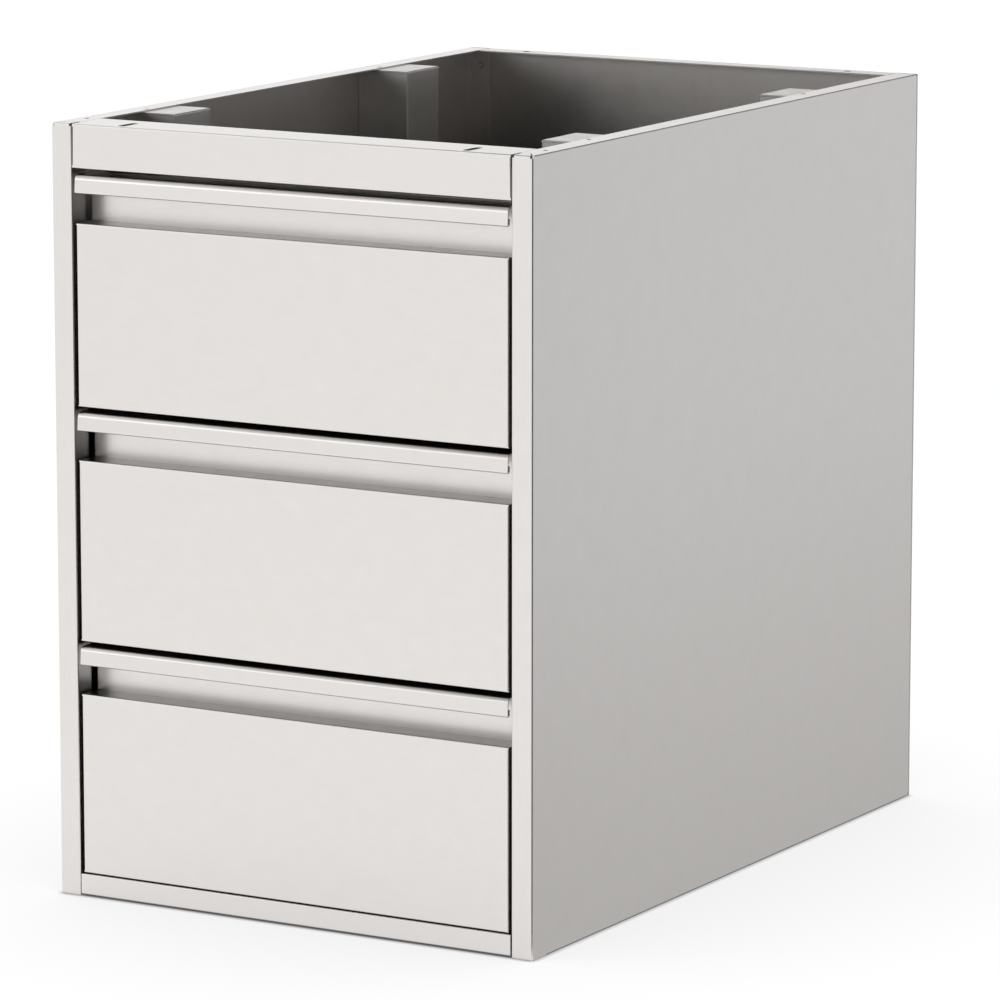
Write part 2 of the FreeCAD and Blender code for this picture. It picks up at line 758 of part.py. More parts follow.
def drawer_back(name, level):
    """The rear wall of the drawer, with a foot and a top edge turned forward."""
    body = new_body(name, z=front_bottoms[level])
    half = tray_half - cell.tray_sheet - cell.fit_gap
    low = tray_bottom + cell.tray_sheet
    high = tray_top - cell.drawer_back_drop
    fold = tray_rear - cell.drawer_back_return
    path = [(fold, low), (tray_rear, low), (tray_rear, high), (fold, high)]
    pad(body, "wall", "x", -half, half, bent_strip(path, cell.tray_sheet, 1, rounded=False))
    return body


def front_screws(name, level):
    """Pan-head screws through the inner front into the lips of the front."""
    body = new_body(name, z=front_bottoms[level])
    tip = cell.recess_depth - cell.screw_reach
    shanks = [facets(a, b, cell.screw_radius) for a, b in front_screw_places]
    heads = [facets(a, b, cell.pan_head_radius) for a, b in front_screw_places]
    pad(body, "shanks", "y", tip, inner_front_back, *shanks)
    pad(body, "heads", "y", inner_front_back, inner_front_back + cell.pan_head_height, *heads)
    return body


def slide_rivets(name, level):
    """Rivets that hold the drawer runners to both sides of the tray."""
    body = new_body(name, z=front_bottoms[level])
    places = [slide_front + place for place in runner_rivet_places]
    head = cell.rivet_head_height
    inner = tray_half - cell.tray_sheet
    outer = tray_half + cell.slide_sheet
    shanks = [facets(place, cell.slide_lift, cell.rivet_radius) for place in places]
    heads = [facets(place, cell.slide_lift, cell.runner_rivet_head) for place in places]
    pad(body, "right_shanks", "x", inner, outer, *shanks)
    pad(body, "right_tails", "x", inner - head, inner, *heads)
    pad(body, "right_heads", "x", outer, outer + head, *heads)
    pad(body, "left_shanks", "x", -outer, -inner, *shanks)
    pad(body, "left_tails", "x", -inner, head - inner, *heads)
    pad(body, "left_heads", "x", -outer - head, -outer, *heads)
    return body


def slide_screws():
    """Countersunk screws that hold the cabinet runners to the posts."""
    body = new_body("slide_screws")
    flush = cell.slide_sheet - cell.fit_gap / 2
    reach = cell.post_sheet + cell.screw_reach
    places = [(place, height) for place in slide_screw_places for height in slide_heights]
    shanks = [facets(a, b, cell.screw_radius) for a, b in places]
    pad(body, "right_shanks", "x", post_face, post_face + reach, *shanks)
    pad(body, "left_shanks", "x", -post_face - reach, -post_face, *shanks)
    left_heads = pad(body, "left_heads", "x", -post_face, flush - post_face, *shanks)
    left_heads.TaperAngle = SINK_SLOPE
    right_heads = pad(body, "right_heads", "x", post_face - flush, post_face, *shanks)
    right_heads.TaperAngle = SINK_SLOPE
    right_heads.Reversed = True
    right_heads.Profile[0].setExpression("AttachmentOffset.Base.z", post_face.text)
    return body


def back_panel_rivets():
    """Rivets that hold the back to the rear flanges of the sides."""
    body = new_body("back_panel_rivets")
    inner = back_inner - cell.body_sheet
    heights = [cell.rivet_end_inset + rivet_pitch * step for step in range(RIVET_SPACES + 1)]
    for side in (-1, 1):
        column = rivet_side * side
        shanks = [facets(column, height, cell.rivet_radius) for height in heights]
        tails = [facets(column, height, cell.runner_rivet_head) for height in heights]
        heads = [facets(column, height, cell.rivet_head_radius) for height in heights]
        pad(body, "shanks", "y", inner, rear, *shanks)
        pad(body, "tails", "y", inner - cell.rivet_tail, inner, *tails)
        pad(body, "heads", "y", rear, rear + cell.rivet_head_height, *heads)
    return body


HANDS = {"left": -1, "right": 1}
pieces = []
right_side = side_panel()
pieces.append(right_side)
pieces.append(mirror_of(right_side, "side_panel_left"))
pieces.append(back_panel())
pieces.append(base_panel())
pieces.append(top_front_rail())
for end, place in (("front", post_front), ("rear", post_rear)):
    right_post = post("post_%s_right" % end, place)
    pieces.append(right_post)
    pieces.append(mirror_of(right_post, "post_%s_left" % end))
for level in range(DRAWER_COUNT):
    number = level + 1
    pieces.append(drawer_front("drawer_front_%d" % number, level))
    pieces.append(drawer_inner_front("drawer_inner_front_%d" % number, level))
    pieces.append(drawer_tray("drawer_tray_%d" % number, level))
    pieces.append(drawer_back("drawer_back_%d" % number, level))
    pieces.append(front_screws("front_screws_%d" % number, level))
    pieces.append(slide_rivets("slide_rivets_%d" % number, level))
    for hand, side in HANDS.items():
        pieces.append(slide_outer("slide_outer_%s_%d" % (hand, number), side, level))
        pieces.append(slide_middle("slide_middle_%s_%d" % (hand, number), side, level))
        pieces.append(slide_inner("slide_inner_%s_%d" % (hand, number), side, level))
        pieces.append(cage("cage_outer_%s_%d" % (hand, number), side, level,
                           outer_cage_u, outer_cage_end, outer_cage_v))
        pieces.append(cage("cage_inner_%s_%d" % (hand, number), side, level,
                           inner_cage_u, inner_cage_end, inner_cage_v))
pieces.append(slide_screws())
pieces.append(back_panel_rivets())

doc.recompute()

for thing in doc.Objects:
    if "Invalid" in thing.State or "Error" in thing.State:
        raise RuntimeError("%s did not build: %s" % (thing.Label, thing.State))
for piece in pieces:
    if piece.Shape.isNull() or not piece.Shape.isValid() or not piece.Shape.Solids:
        raise RuntimeError("%s has no sound shape" % piece.Label)
for piece in pieces:
    piece.Shape.exportStep("parts/%s.step" % piece.Label)
    print(piece.Label, len(piece.Shape.Solids), round(piece.Shape.Volume, 1))
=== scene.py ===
import math
import bmesh
import bpy
from mathutils import Matrix, Vector


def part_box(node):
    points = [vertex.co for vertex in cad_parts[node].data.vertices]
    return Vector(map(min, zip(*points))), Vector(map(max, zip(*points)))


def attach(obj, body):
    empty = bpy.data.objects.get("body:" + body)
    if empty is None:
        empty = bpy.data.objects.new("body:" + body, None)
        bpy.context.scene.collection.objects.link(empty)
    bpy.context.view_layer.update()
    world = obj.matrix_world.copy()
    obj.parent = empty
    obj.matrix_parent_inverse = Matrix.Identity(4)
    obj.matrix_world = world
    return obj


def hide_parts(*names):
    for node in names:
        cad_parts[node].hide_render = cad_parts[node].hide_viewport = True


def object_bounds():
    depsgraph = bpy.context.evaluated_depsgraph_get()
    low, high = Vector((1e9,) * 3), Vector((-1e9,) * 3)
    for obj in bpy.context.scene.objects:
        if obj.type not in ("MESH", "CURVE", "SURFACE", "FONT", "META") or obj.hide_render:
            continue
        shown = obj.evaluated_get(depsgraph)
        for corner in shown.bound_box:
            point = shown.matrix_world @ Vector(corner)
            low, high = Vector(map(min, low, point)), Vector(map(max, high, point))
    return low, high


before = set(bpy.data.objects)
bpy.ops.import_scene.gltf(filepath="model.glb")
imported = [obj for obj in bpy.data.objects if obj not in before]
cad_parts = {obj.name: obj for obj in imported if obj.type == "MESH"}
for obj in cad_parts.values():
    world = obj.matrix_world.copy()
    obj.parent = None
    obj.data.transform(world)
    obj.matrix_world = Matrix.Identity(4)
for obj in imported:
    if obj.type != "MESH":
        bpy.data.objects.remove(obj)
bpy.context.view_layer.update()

# Side panels, back panel and base panel.
# Folded 1.2 mm stainless steel sheet, with flanges that lie on each other and carry the screws and
# rivets. The sides are dressed upwards and the base across; the back keeps a fine even mottle.


def reckon(tree, operation, first, second):
    """A Math node in the tree; each side is a number or another node's output."""
    node = tree.nodes.new("ShaderNodeMath")
    node.operation = operation
    for socket, side in zip(node.inputs, (first, second)):
        if isinstance(side, (int, float)):
            socket.default_value = side
        else:
            tree.links.new(side, socket)
    return node


def noise(tree, way, scale, detail):
    """A noise that varies along the way given, of so many swings to the metre."""
    node = tree.nodes.new("ShaderNodeTexNoise")
    node.inputs["Scale"].default_value = scale
    node.inputs["Detail"].default_value = detail
    tree.links.new(way, node.inputs["Vector"])
    return node


def build_satin_grain():
    """Grain of rolled and dressed sheet: fine scratches in one direction over a soft mottle."""
    scratch_scale, scratch_detail = 900, 3
    cloud_scale, cloud_detail, cloud_roughness = 55, 4, 0.65
    scratch_height = 0.00002
    middle_of_noise = 0.5
    group = bpy.data.node_groups.new("satin_grain", "ShaderNodeTree")
    face = group.interface
    steel = face.new_socket("Steel", in_out="INPUT", socket_type="NodeSocketColor")
    steel.default_value = (0.78, 0.76, 0.73, 1)
    for name, value in (("Roughness", 0.4), ("Mottle", 0.03), ("Grain", 0.03),
                        ("Grain Depth", 0.2)):
        socket = face.new_socket(name, in_out="INPUT", socket_type="NodeSocketFloat")
        socket.default_value = value
    stretch = face.new_socket("Stretch", in_out="INPUT", socket_type="NodeSocketVector")
    stretch.default_value = (1, 1, 1)
    face.new_socket("Color", in_out="OUTPUT", socket_type="NodeSocketColor")
    face.new_socket("Roughness", in_out="OUTPUT", socket_type="NodeSocketFloat")
    face.new_socket("Normal", in_out="OUTPUT", socket_type="NodeSocketVector")
    nodes, links = group.nodes, group.links
    enter = nodes.new("NodeGroupInput")
    leave = nodes.new("NodeGroupOutput")

    place = nodes.new("ShaderNodeTexCoord").outputs["Object"]
    drawn = nodes.new("ShaderNodeVectorMath")
    drawn.operation = "MULTIPLY"
    links.new(place, drawn.inputs[0])
    links.new(enter.outputs["Stretch"], drawn.inputs[1])
    scratch = noise(group, drawn.outputs[0], scratch_scale, scratch_detail)
    cloud = noise(group, place, cloud_scale, cloud_detail)
    cloud.inputs["Roughness"].default_value = cloud_roughness

    swings = []
    for source, amount in ((scratch, "Grain"), (cloud, "Mottle")):
        swing = reckon(group, "SUBTRACT", source.outputs["Fac"], middle_of_noise)
        swings.append(reckon(group, "MULTIPLY", swing.outputs[0], enter.outputs[amount]).outputs[0])
    both = reckon(group, "ADD", *swings).outputs[0]

    tint = nodes.new("ShaderNodeVectorMath")
    tint.operation = "SCALE"
    links.new(enter.outputs["Steel"], tint.inputs[0])
    links.new(reckon(group, "ADD", both, 1).outputs[0], tint.inputs["Scale"])
    links.new(tint.outputs[0], leave.inputs["Color"])
    dull = reckon(group, "SUBTRACT", enter.outputs["Roughness"], both)
    dull.use_clamp = True
    links.new(dull.outputs[0], leave.inputs["Roughness"])
    relief = nodes.new("ShaderNodeBump")
    relief.inputs["Distance"].default_value = scratch_height
    links.new(scratch.outputs["Fac"], relief.inputs["Height"])
    links.new(enter.outputs["Grain Depth"], relief.inputs["Strength"])
    links.new(relief.outputs["Normal"], leave.inputs["Normal"])
    return group


satin_grain = build_satin_grain()


def satin_steel(name, steel, roughness, stretch, mottle=0.05, grain=0.06, depth=0.25):
    """Bare metal with its grain drawn out along the axis whose stretch is smallest."""
    material = bpy.data.materials.new(name)
    material.use_nodes = True
    nodes, links = material.node_tree.nodes, material.node_tree.links
    shader = nodes["Principled BSDF"]
    shader.inputs["Metallic"].default_value = 1
    finish = nodes.new("ShaderNodeGroup")
    finish.node_tree = satin_grain
    finish.inputs["Steel"].default_value = (*steel, 1)
    finish.inputs["Roughness"].default_value = roughness
    finish.inputs["Stretch"].default_value = stretch
    finish.inputs["Mottle"].default_value = mottle
    finish.inputs["Grain"].default_value = grain
    finish.inputs["Grain Depth"].default_value = depth
    links.new(finish.outputs["Color"], shader.inputs["Base Color"])
    links.new(finish.outputs["Roughness"], shader.inputs["Roughness"])
    links.new(finish.outputs["Normal"], shader.inputs["Normal"])
    return material


def finish_node(node, material):
    """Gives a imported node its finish."""
    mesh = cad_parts[node].data
    if not mesh.materials:
        mesh.materials.append(material)
    for index in range(len(mesh.materials)):
        mesh.materials[index] = material


cabinet_steel = satin_steel("cabinet_satin_steel", (0.79, 0.765, 0.742), 0.3, (0.06, 1, 1),
                            grain=0.04)
side_steel = satin_steel("side_satin_steel", (0.785, 0.758, 0.737), 0.3, (1, 1, 0.06))
back_steel = satin_steel("back_satin_steel", (0.755, 0.73, 0.707), 0.32, (0.4, 1, 0.4),
                         mottle=0.09, grain=0.09, depth=0.004)
for node in ("side_panel_left", "side_panel_right"):
    finish_node(node, side_steel)
finish_node("back_panel", back_steel)
finish_node("base_panel", cabinet_steel)

# Top rail: one folded sheet between the columns, set in with a hair's breadth at each end.
# Its top flange turns down again behind the fronts and ends in a narrow fold, which keeps the
# light off the top drawer's ledge.
rail_fit = 0.00045
rail_end_band = 0.0014
rail_under_flange = 0.654
rail_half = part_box("top_front_rail")[1][0]
rail_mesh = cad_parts["top_front_rail"].data.copy()
rail_mesh.name = "top_front_rail_fitted"
for point in rail_mesh.vertices:
    if abs(point.co.x) > rail_half - rail_end_band and point.co.z < rail_under_flange:
        point.co.x += math.copysign(rail_fit, point.co.x)
rail_mesh.materials.clear()
rail_mesh.materials.append(cabinet_steel)
rail = bpy.data.objects.new("top_front_rail_fitted", rail_mesh)
bpy.context.scene.collection.objects.link(rail)
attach(rail, "cabinet")
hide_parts("top_front_rail")

leg_sheet = 0.0012
leg_bend = 0.0024
leg_fold = 0.006
leg_below_front_top = 0.003
leg_past_post_edge = 0.025
flange_edge = -0.302
rail_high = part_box("top_front_rail")[1][2]
leg_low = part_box("drawer_front_3")[1][2] - leg_below_front_top
leg_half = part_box("post_front_right")[0][0] + leg_past_post_edge
bend_step = 15
crease = math.radians(40)


def folded_leg():
    """The leg's section, outer line down and inner line back up, drawn out between the posts."""
    outer, inner = [], []
    sheet_faces = ((outer, leg_bend), (inner, leg_bend - leg_sheet))
    bend_middle = flange_edge - leg_bend
    for angle in range(0, 91, bend_step):
        turn = math.radians(angle)
        for line, reach in sheet_faces:
            line.append((bend_middle + reach * math.sin(turn),
                         rail_high - leg_bend + reach * math.cos(turn)))
    for angle in range(0, 181, bend_step):
        turn = math.radians(angle)
        for line, reach in sheet_faces:
            line.append((bend_middle + reach * math.cos(turn),
                         leg_low + leg_bend - reach * math.sin(turn)))
    outer.append((flange_edge - 2 * leg_bend, leg_low + leg_fold))
    inner.append((flange_edge - 2 * leg_bend + leg_sheet, leg_low + leg_fold))
    section = outer + inner[::-1]
    mesh = bpy.data.meshes.new("top_front_rail_leg")
    shape = bmesh.new()
    ends = [[shape.verts.new((x, y, z)) for y, z in section] for x in (-leg_half, leg_half)]
    for index in range(len(section)):
        after = (index + 1) % len(section)
        side = shape.faces.new((ends[0][index], ends[0][after], ends[1][after], ends[1][index]))
        side.smooth = True
    shape.faces.new(ends[0][::-1])
    shape.faces.new(ends[1])
    bmesh.ops.recalc_face_normals(shape, faces=shape.faces)
    shape.to_mesh(mesh)
    shape.free()
    mesh.set_sharp_from_angle(angle=crease)
    mesh.materials.append(cabinet_steel)
    leg = bpy.data.objects.new("top_front_rail_leg", mesh)
    bpy.context.scene.collection.objects.link(leg)
    return leg


rail_leg = folded_leg()
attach(rail_leg, "cabinet")

# Upright posts with their top tabs.
# Channels of 1.5 mm steel sheet, set inside the four corners, that carry the slides and take the
# worktop's screws in their tabs. They keep the dull mill finish, because the drawers hide them.
post_steel = satin_steel("post_mill_steel", (0.70, 0.685, 0.665), 0.36, (1, 1, 0.1),
                         mottle=0.14, grain=0.1)
for end in ("front", "rear"):
    for hand in ("left", "right"):
        finish_node("post_%s_%s" % (end, hand), post_steel)

# Drawer fronts.
# One folded sheet of 1.2 mm satin steel each: flat panel, ledge, finger recess and rolled grip lip.
# Every face that looks upward, the ledges and the flat tops, is mixed to a dark grey as painted
# shade, for the shade under the lips and under the rail.
# Painted shade: the dark grey given to the upward faces of the fronts.
ledge_painted_shade = (0.19, 0.185, 0.178, 1)
ledge_tilt_from, ledge_tilt_to = 0.85, 0.99
front_steel = satin_steel("front_satin_steel", (0.785, 0.758, 0.734), 0.3, (0.06, 1, 1), grain=0.04)
nodes, links = front_steel.node_tree.nodes, front_steel.node_tree.links
facing = nodes.new("ShaderNodeNewGeometry")
lie = nodes.new("ShaderNodeSeparateXYZ")
links.new(facing.outputs["True Normal"], lie.inputs[0])
ledge = nodes.new("ShaderNodeMapRange")
ledge.inputs["From Min"].default_value = ledge_tilt_from
ledge.inputs["From Max"].default_value = ledge_tilt_to
links.new(lie.outputs["Z"], ledge.inputs["Value"])
# Mixes the painted shade over the satin finish where a face looks upward.
ledge_shade_colour = nodes.new("ShaderNodeMix")
ledge_shade_colour.data_type = "RGBA"
ledge_shade_colour.inputs["B"].default_value = ledge_painted_shade
links.new(ledge.outputs["Result"], ledge_shade_colour.inputs["Factor"])
links.new(nodes["Group"].outputs["Color"], ledge_shade_colour.inputs["A"])
links.new(ledge_shade_colour.outputs["Result"], nodes["Principled BSDF"].inputs["Base Color"])
for number in (1, 2, 3):
    finish_node("drawer_front_%d" % number, front_steel)

# Drawer trays with their backs and the plates behind the fronts.
# Folded from 1 mm stainless steel with a plain mill finish: greyer than the outside, and cloudier.
tray_steel = satin_steel("tray_mill_steel", (0.70, 0.685, 0.665), 0.34, (1, 0.08, 1), mottle=0.12)
for number in (1, 2, 3):
    for piece in ("drawer_tray", "drawer_back", "drawer_inner_front"):
        finish_node("%s_%d" % (piece, number), tray_steel)

# Telescopic slides: cabinet runner, bridge runner and drawer runner on each side of each drawer.
# Roll-formed steel strip with a bright zinc finish, one channel inside the next, screwed to the
# posts and riveted to the tray's walls.
runner_zinc = satin_steel("runner_zinc", (0.64, 0.665, 0.69), 0.28, (1, 0.05, 1), mottle=0.1)
for number in (1, 2, 3):
    for hand in ("left", "right"):
        for runner in ("outer", "middle", "inner"):
            finish_node("slide_%s_%s_%d" % (runner, hand, number), runner_zinc)

# Ball cages with their rows of balls.
# A thin sheet channel keeps hardened balls 20 mm apart between the flanges of two runners.
cage_zinc = satin_steel("cage_zinc", (0.5, 0.5, 0.49), 0.4, (1, 0.2, 1), mottle=0.1)
ball_steel = satin_steel("ball_steel", (0.78, 0.78, 0.79), 0.1, (1, 1, 1),
                         mottle=0.02, grain=0.01, depth=0.02)
slide_heights = (0.085, 0.2848, 0.4846)
post_face = 0.177
ball_radius = 0.0017
ball_pitch = 0.020
cage_middle = -0.066
balls_in_row = 11


def ball_rows(name, rows):
    """Rows of balls along the slide, each row given by its place across and its height."""
    mesh = bpy.data.meshes.new(name)
    shape = bmesh.new()
    for x, z in rows:
        for step in range(balls_in_row):
            y = cage_middle + (step - (balls_in_row - 1) / 2) * ball_pitch
            bmesh.ops.create_icosphere(shape, subdivisions=2, radius=ball_radius,
                                       matrix=Matrix.Translation((x, y, z)))
    for face in shape.faces:
        face.smooth = True
    shape.to_mesh(mesh)
    shape.free()
    balls = bpy.data.objects.new(name, mesh)
    bpy.context.scene.collection.objects.link(balls)
    mesh.materials.append(ball_steel)
    return balls


for number, height in enumerate(slide_heights, start=1):
    for cage, depth, spread in (("outer", 0.0054, 0.0193), ("inner", 0.0074, 0.0141)):
        for hand in ("left", "right"):
            finish_node("cage_%s_%s_%d" % (cage, hand, number), cage_zinc)
        rows = [(side * (post_face - depth), height + lift)
                for side in (-1, 1) for lift in (-spread, spread)]
        balls = ball_rows("balls_%s_%d" % (cage, number), rows)
        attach(balls, "%s_cages_%d" % (cage, number))

# Countersunk screws of the cabinet runners.
# Stainless M4 screws with a cross recess: two in each runner, flush in its web and through the
# post behind it.
screw_steel = satin_steel("screw_steel", (0.72, 0.71, 0.70), 0.24, (1, 1, 1),
                          mottle=0.05, grain=0.04)
turned_steps = 32
recess_reach = 0.0017
recess_width = 0.00042
recess_depth = 0.0006
thread_radius = 0.00195
smallest_slant = 1e-6


def turned(name, material, profile, places, axis):
    """Small turned pieces from one profile of (distance along the axis, radius), one at each place.
    A radius of None marks the rim of a cross recess, and the next distance is its floor."""
    mesh = bpy.data.meshes.new(name)
    shape = bmesh.new()
    along = Vector(axis)
    across = along.orthogonal().normalized()
    upward = along.cross(across)
    for place in places:
        rings = []
        for distance, radius in profile:
            ring = []
            for step in range(turned_steps):
                angle = 2 * math.pi * step / turned_steps
                if radius is None:
                    slant = min(abs(math.cos(angle)), abs(math.sin(angle)))
                    reach = min(recess_reach, recess_width / max(slant, smallest_slant))
                else:
                    reach = radius
                spoke = across * math.cos(angle) + upward * math.sin(angle)
                ring.append(shape.verts.new(Vector(place) + along * distance + spoke * reach))
            rings.append(ring)
        for low, high in zip(rings, rings[1:]):
            for step in range(turned_steps):
                after = (step + 1) % turned_steps
                shape.faces.new((low[step], low[after], high[after], high[step]))
        shape.faces.new(rings[0][::-1])
        shape.faces.new(rings[-1])
    bmesh.ops.recalc_face_normals(shape, faces=shape.faces)
    for face in shape.faces:
        face.smooth = len(face.verts) == 4
    shape.to_mesh(mesh)
    shape.free()
    mesh.materials.append(material)
    pieces = bpy.data.objects.new(name, mesh)
    bpy.context.scene.collection.objects.link(pieces)
    return pieces


def threaded(start, end, radius, pitch=0.0007, depth=0.00028):
    """Profile of a screw's thread as rings from the start to the end."""
    turns = int(abs(end - start) / pitch)
    step = (end - start) / turns
    rings = []
    for turn in range(turns):
        rings.append((start + step * turn, radius - depth))
        rings.append((start + step * (turn + 0.5), radius))
    rings.append((end, radius - depth))
    return rings


cross_recess = [(recess_depth, recess_width), (recess_depth, None), (0, None)]
sunk_head = cross_recess + [(0, 0.0031), (0.0011, thread_radius)]
sunk_profile = sunk_head + threaded(0.0014, 0.0056, thread_radius)
runner_web = 0.0011
screw_rows = (-0.211, 0.169)
for hand, side in (("left", -1), ("right", 1)):
    places = [(side * (post_face - runner_web), y, z) for y in screw_rows for z in slide_heights]
    screws = turned("slide_screws_%s_turned" % hand, screw_steel, sunk_profile, places,
                    (side, 0, 0))
    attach(screws, "cabinet")
    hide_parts("slide_screws")

# Pan-head screws of the fronts.
# Stainless M4 screws, driven forward from inside the drawer: four through the tray's plate into
# each front's side lips.
pan_height = 0.002
pan_head = cross_recess + [(0, 0.0022), (0.0002, 0.0028), (0.0006, 0.0032), (0.0012, 0.0035),
                           (pan_height, 0.0035), (pan_height, 0.0019)]
pan_profile = pan_head + threaded(0.0022, 0.0070, thread_radius)
front_bottoms = (0.020, 0.2198, 0.4196)
front_screw_sides = 0.1976
front_screw_heights = (0.03, 0.1314)
plate_back = -0.3178
for number, bottom in enumerate(front_bottoms, start=1):
    places = [(side * front_screw_sides, plate_back + pan_height, bottom + height)
              for side in (-1, 1) for height in front_screw_heights]
    screws = turned("front_screws_%d_turned" % number, screw_steel, pan_profile, places,
                    (0, -1, 0))
    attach(screws, "drawer_%d" % number)
    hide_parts("front_screws_%d" % number)

# Rivets of the drawer runners.
# Aluminium rivets, pressed to low heads with a dished middle on both sides of the tray's wall and
# the runner's web.
rivet_aluminium = satin_steel("rivet_aluminium", (0.77, 0.775, 0.78), 0.3, (1, 1, 1), mottle=0.06)
head_height = 0.0008
head_radius = 0.0032
shank_radius = 0.002
wall_and_web = 0.0022
runner_rivets = (-0.256, 0.124)
tray_inside = 0.1633


def dished(height, radius):
    """Profile of a low head from its dished middle out to the rim and down to its seat."""
    rounds = (0.3, 0.62, 0.85, 0.97)
    bowl = [(-height * part, radius * math.sqrt(1 - (1 - part) ** 2)) for part in rounds]
    return bowl + [(0, radius)]


near_head = dished(head_height, head_radius) + [(0, shank_radius)]
far_head = [(wall_and_web - distance, radius) for distance, radius in near_head[::-1]]
for number, height in enumerate(slide_heights, start=1):
    for hand, side in (("left", -1), ("right", 1)):
        places = [(side * tray_inside, y, height) for y in runner_rivets]
        rivets = turned("slide_rivets_%s_%d_turned" % (hand, number), rivet_aluminium,
                        near_head + far_head, places, (side, 0, 0))
        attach(rivets, "drawer_%d" % number)
        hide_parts("slide_rivets_%d" % number)

# Rivets of the back panel.
# Blind rivets, six up each side: a domed head outside with its broken pin in the middle, and a
# swollen tail behind the side's rear flange.
blind_head = [(-0.0005, 0.0006), (-0.00055, 0.0009), (-0.0003, 0.00105), (-0.0007, 0.0013),
              (-0.0008, 0.0018), (-0.00066, 0.0027), (-0.0004, 0.0034), (-0.00015, 0.0038),
              (0, 0.004), (0, shank_radius)]
blind_tail = [(0.0024, shank_radius), (0.0024, 0.0026), (0.003, 0.0032), (0.0035, 0.0031),
              (0.0039, 0.0022)]
back_face = 0.345
rivet_side = 0.219
lowest_rivet = 0.016
rivet_pitch = 0.125
rivets_up_a_side = 6
rivet_places = [(side * rivet_side, back_face, lowest_rivet + rivet_pitch * step)
                for side in (-1, 1) for step in range(rivets_up_a_side)]
back_rivets = turned("back_panel_rivets_turned", rivet_aluminium, blind_head + blind_tail,
                     rivet_places, (0, -1, 0))
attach(back_rivets, "cabinet")
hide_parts("back_panel_rivets")

# Floor.
# A large pale sheet, white to the camera and in the metal. Its glow is darkened by ambient
# occlusion, a painted shade softly round the cabinet and a thin painted line under its edge; its
# matt layer takes the shadow of the lamp.
floor_half = 40
floor_drop = 0.0005
floor_grey = (0.12, 0.12, 0.12, 1)
floor_white = (1.02, 1.02, 1.02, 1)
shade_samples = 8
floor_mesh = bpy.data.meshes.new("floor")
floor_mesh.from_pydata([(-floor_half, -floor_half, 0), (floor_half, -floor_half, 0),
                        (floor_half, floor_half, 0), (-floor_half, floor_half, 0)],
                       [], [(0, 1, 2, 3)])
floor = bpy.data.objects.new("floor", floor_mesh)
bpy.context.scene.collection.objects.link(floor)
floor.location.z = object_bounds()[0][2] - floor_drop

floor_paint = bpy.data.materials.new("floor_paint")
floor_paint.use_nodes = True
floor_tree = floor_paint.node_tree
nodes, links = floor_tree.nodes, floor_tree.links
nodes.remove(nodes["Principled BSDF"])
matt = nodes.new("ShaderNodeBsdfDiffuse")
matt.inputs["Color"].default_value = floor_grey
glow = nodes.new("ShaderNodeEmission")
glow.inputs["Color"].default_value = floor_white
path = nodes.new("ShaderNodeLightPath")
seen = reckon(floor_tree, "MAXIMUM", path.outputs["Is Camera Ray"], path.outputs["Is Glossy Ray"])
seen = reckon(floor_tree, "MAXIMUM", seen.outputs[0], path.outputs["Is Transmission Ray"])
# Painted shade: the glow is dimmed by ambient occlusion at two reaches, a wide soft one and a thin
# one.
shades = []
for reach, depth in ((0.45, 0.3), (0.006, 1.0)):
    corner = nodes.new("ShaderNodeAmbientOcclusion")
    corner.samples = shade_samples
    corner.inputs["Distance"].default_value = reach
    shade = nodes.new("ShaderNodeMapRange")
    shade.inputs["To Min"].default_value = 1 - depth
    links.new(corner.outputs["AO"], shade.inputs["Value"])
    shades.append(shade.outputs["Result"])
both_shades = reckon(floor_tree, "MULTIPLY", *shades)
level = reckon(floor_tree, "MULTIPLY", seen.outputs[0], both_shades.outputs[0])
links.new(level.outputs[0], glow.inputs["Strength"])
paint_layers = nodes.new("ShaderNodeAddShader")
links.new(matt.outputs[0], paint_layers.inputs[0])
links.new(glow.outputs[0], paint_layers.inputs[1])
links.new(paint_layers.outputs[0], nodes["Material Output"].inputs["Surface"])
floor_mesh.materials.append(floor_paint)

# Light: a pale room with a dark ceiling and one long soft box at the front left.
# The cards show only in the metal: white and bright on the left, grey on the right and on the
# floor beside the cabinet, and dark between that side and the camera.
world = bpy.data.worlds.new("studio")
bpy.context.scene.world = world
world.use_nodes = True
nodes, links = world.node_tree.nodes, world.node_tree.links
background = nodes["Background"]


def graded(tree, axis, *stops):
    """A colour that runs along one axis of the generated place, from (place, colour) stops."""
    way = tree.nodes.new("ShaderNodeTexCoord")
    parts = tree.nodes.new("ShaderNodeSeparateXYZ")
    tree.links.new(way.outputs["Generated"], parts.inputs[0])
    grade = tree.nodes.new("ShaderNodeValToRGB")
    for element, (place, colour) in zip(grade.color_ramp.elements, stops):
        element.position = place
        element.color = (*colour, 1)
    tree.links.new(parts.outputs[axis], grade.inputs[0])
    return grade.outputs["Color"]


walls = graded(world.node_tree, "Z", (0.16, (1, 1, 1)), (0.38, (0.015, 0.015, 0.015)))
links.new(walls, background.inputs["Color"])
background.inputs["Strength"].default_value = 1


def soft_box(name, place, target, width, height, radiance):
    """A lamp that faces its target and looks as bright as the radiance in a mirror."""
    lamp = bpy.data.lights.new(name, "AREA")
    lamp.shape = "RECTANGLE"
    lamp.size = width
    lamp.size_y = height
    lamp.energy = radiance * math.pi * width * height
    box = bpy.data.objects.new(name, lamp)
    bpy.context.scene.collection.objects.link(box)
    box.location = place
    box.rotation_euler = (Vector(target) - Vector(place)).to_track_quat("-Z", "Y").to_euler()
    box.visible_camera = False


soft_box("key_soft_box", (-1.75, -2.75, 1.4), (0, -0.3, 0.42), width=2.0, height=0.7,
         radiance=1.15)


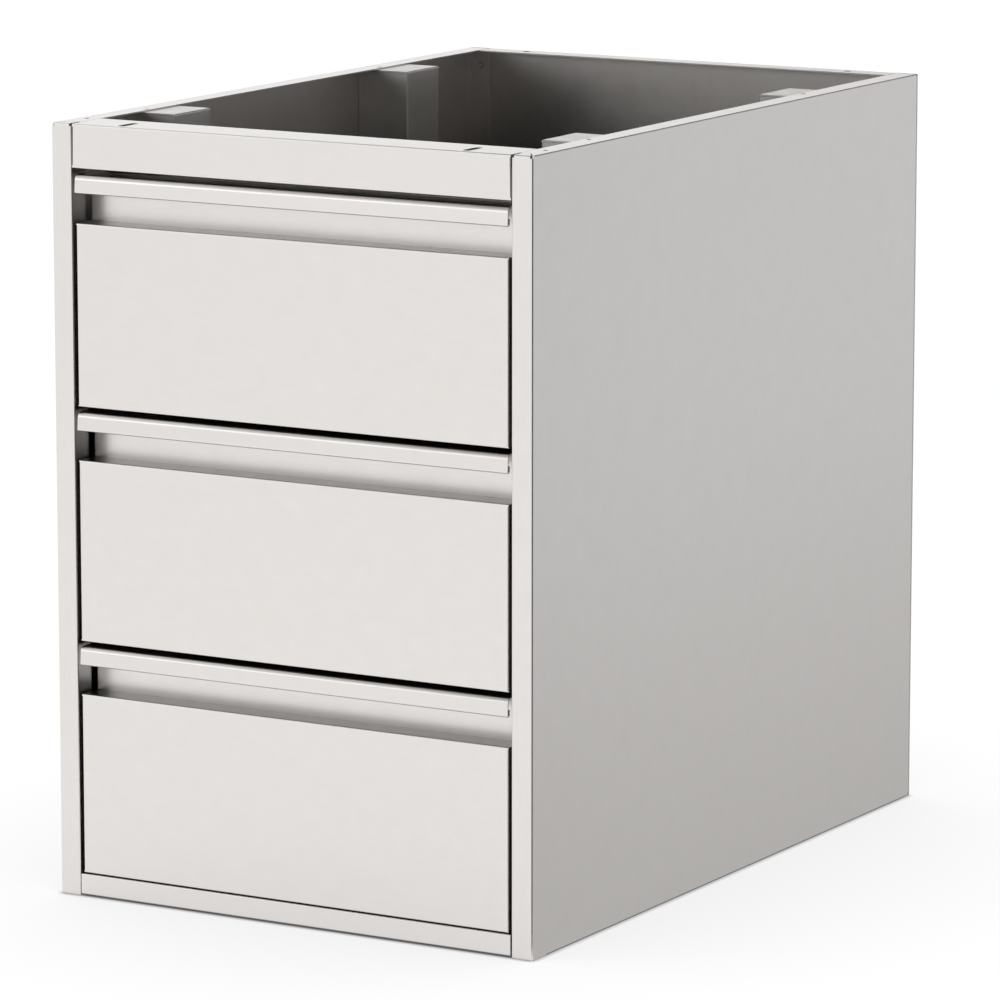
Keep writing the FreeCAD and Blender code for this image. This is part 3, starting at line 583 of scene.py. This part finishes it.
def card(name, corners, level, far_level=None, tint=(1, 1, 1)):
    """A card that only shows in the metal, of one level or graded along X to the far level."""
    mesh = bpy.data.meshes.new(name)
    mesh.from_pydata(corners, [], [(0, 1, 2, 3)])
    board = bpy.data.objects.new(name, mesh)
    bpy.context.scene.collection.objects.link(board)
    paint = bpy.data.materials.new(name)
    paint.use_nodes = True
    nodes, links = paint.node_tree.nodes, paint.node_tree.links
    nodes.remove(nodes["Principled BSDF"])
    glow = nodes.new("ShaderNodeEmission")
    colour = [level * part for part in tint]
    glow.inputs["Color"].default_value = (*colour, 1)
    if far_level is not None:
        far_colour = [far_level * part for part in tint]
        links.new(graded(paint.node_tree, "X", (0, colour), (1, far_colour)), glow.inputs["Color"])
    links.new(glow.outputs[0], nodes["Material Output"].inputs["Surface"])
    mesh.materials.append(paint)
    board.visible_camera = False
    board.visible_diffuse = False
    board.visible_shadow = False


def upright(start, end, low, high):
    """Corners of a standing card over a line on the floor."""
    return [(*start, low), (*end, low), (*end, high), (*start, high)]


def lying(height, *corners):
    """Corners of a card that lies at the height."""
    return [(*corner, height) for corner in corners]


side_front, side_rear = (1.1, 0.25), (1.1, 5.0)
flag_near, flag_far = (0.35, -2.4), (2.4, -0.5)
card("white_wall", upright((-3.5, -7), (-3.5, 7), 0, 6.5), 0.9)
card("rear_left_card", upright((-3.4, 3.6), (-3.4, 9.0), 0.9, 3.4), 1.12)
card("grey_card", upright(side_front, side_rear, 0, 0.85), 0.7, tint=(0.985, 1, 1.01))
card("dark_border", upright(side_front, side_rear, 0.85, 3.2), 0.42)
card("floor_card", lying(0.0003, (0.2304, -0.34), side_front, side_rear, (0.2304, 5.0)), 0.54, 0.66)
card("dark_flag", upright(flag_near, flag_far, 0, 1.9), 0.12)
card("dark_end", upright(flag_far, side_front, 0, 1.9), 0.12)
card("dark_cloth", lying(0.0006, (0.24, -0.36), flag_near, flag_far, side_front), 0.12)

# Camera.
# A long lens, a little above the worktop and 30 degrees round to the right, as in the photograph.
camera_place = (2.59335, -4.48023, 1.24324)
camera_backward = (0.4929, -0.8516, 0.1783)
lens = bpy.data.cameras.new("camera")
lens.lens = 217.73
lens.sensor_width = 36
lens.clip_end = 200
camera = bpy.data.objects.new("camera", lens)
bpy.context.scene.collection.objects.link(camera)
camera.location = camera_place
camera.rotation_euler = Vector(camera_backward).to_track_quat("Z", "Y").to_euler()
bpy.context.scene.camera = camera
bpy.context.scene.view_settings.view_transform = "Standard"
